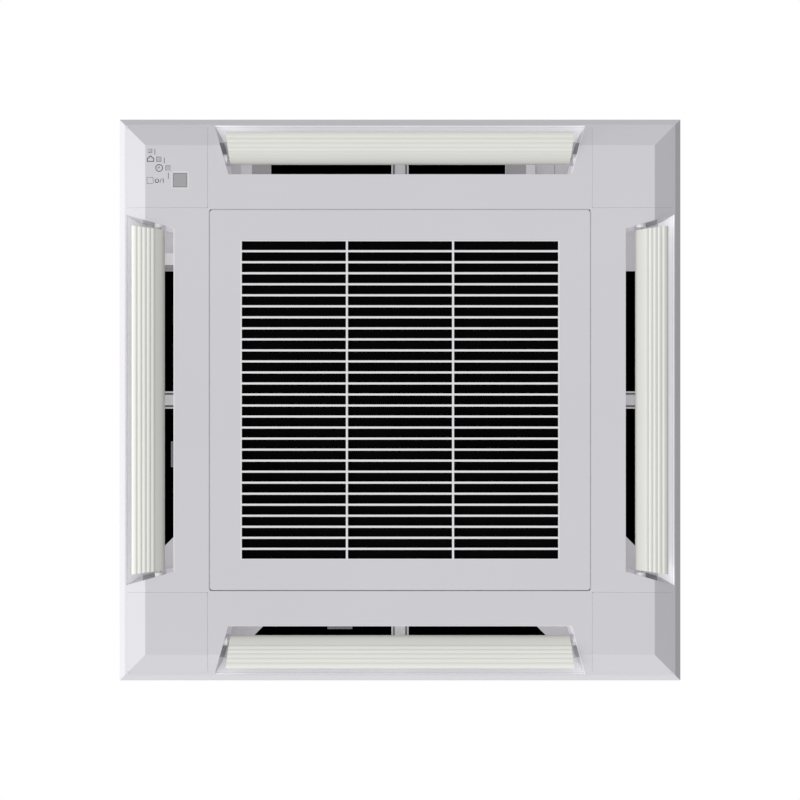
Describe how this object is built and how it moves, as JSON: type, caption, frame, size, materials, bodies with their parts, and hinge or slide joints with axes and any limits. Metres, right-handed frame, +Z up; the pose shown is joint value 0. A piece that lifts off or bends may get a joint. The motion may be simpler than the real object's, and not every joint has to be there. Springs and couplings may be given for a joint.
{
  "type": "four way ceiling cassette air conditioner",
  "caption": "Compact four way ceiling cassette indoor unit: square panel with hinged slotted intake grille, swinging air vanes, corner covers and a steel casing with hangers.",
  "frame": {"origin": "top face of the front left hanger, 16 mm inboard of its suspension bolt's axis", "axes": "+Z up, -Y towards the panel's front edge, +X to the right as read from below with the front edge up"},
  "size_m": [0.62, 0.62, 0.2871],
  "materials": {
    "lilac_white": "fine satin moulding, cool white",
    "warm_white": "satin moulding, warm white",
    "filter_black": "black net on a black frame",
    "grey_window": "smoked grey window",
    "lamp_grey": "unlit lamp",
    "galvanised": "zinc coated sheet",
    "dark_foam": "dark expanded bead foam",
    "fan_black": "satin black moulding",
    "motor_black": "dark enamel",
    "fin_aluminium": "close packed fins",
    "brass": "machined",
    "spigot_white": "plain moulding"
  },
  "bodies": {
    "unit": {"bell_mouth": "lilac_white", "casing_top": "galvanised", "casing_wall": "galvanised", "control_box": "galvanised", "control_box_lid": "galvanised", "corner_cover_back_left": "lilac_white", "corner_cover_back_right": "lilac_white", "corner_cover_front_left": "lilac_white", "corner_cover_front_right": "lilac_white", "drain_pan": "dark_foam", "drain_port": "spigot_white", "fan_motor": "motor_black", "gas_union": "brass", "hanger_back_left": "galvanised", "hanger_back_right": "galvanised", "hanger_front_left": "galvanised", "hanger_front_right": "galvanised", "heat_exchanger": "fin_aluminium", "indicator_lamps": "lamp_grey", "liquid_union": "brass", "manual_button": "lilac_white", "outlet_liner_back": "lilac_white", "outlet_liner_front": "lilac_white", "outlet_liner_left": "lilac_white", "outlet_liner_right": "lilac_white", "panel_frame": "lilac_white", "pipe_plate": "galvanised", "receiver_window": "grey_window", "turbo_fan": "fan_black"},
    "grille": {"intake_grille": "lilac_white", "air_filter": "filter_black"},
    "vane_right": {"vane_right": "warm_white"},
    "vane_back": {"vane_back": "warm_white"},
    "vane_left": {"vane_left": "warm_white"},
    "vane_front": {"vane_front": "warm_white"}
  },
  "joints": [
    {"name": "vane_right_swing", "type": "hinge", "parent": "unit", "child": "vane_right", "pos_m": [0.52019, 0.25469, -0.159], "axis": [0, 1, 0], "range_deg": [-27, 18]},
    {"name": "vane_back_swing", "type": "hinge", "parent": "unit", "child": "vane_back", "pos_m": [0.25469, 0.52019, -0.159], "axis": [-1, 0, 0], "range_deg": [-27, 18]},
    {"name": "vane_left_swing", "type": "hinge", "parent": "unit", "child": "vane_left", "pos_m": [-0.01081, 0.25469, -0.159], "axis": [0, -1, 0], "range_deg": [-27, 18]},
    {"name": "vane_front_swing", "type": "hinge", "parent": "unit", "child": "vane_front", "pos_m": [0.25469, -0.01081, -0.159], "axis": [1, 0, 0], "range_deg": [-27, 18]},
    {"name": "grille_hinge", "type": "hinge", "parent": "unit", "child": "grille", "pos_m": [0.25469, 0.44389, -0.1605], "axis": [1, 0, 0], "range_deg": [0, 90]}
  ]
}
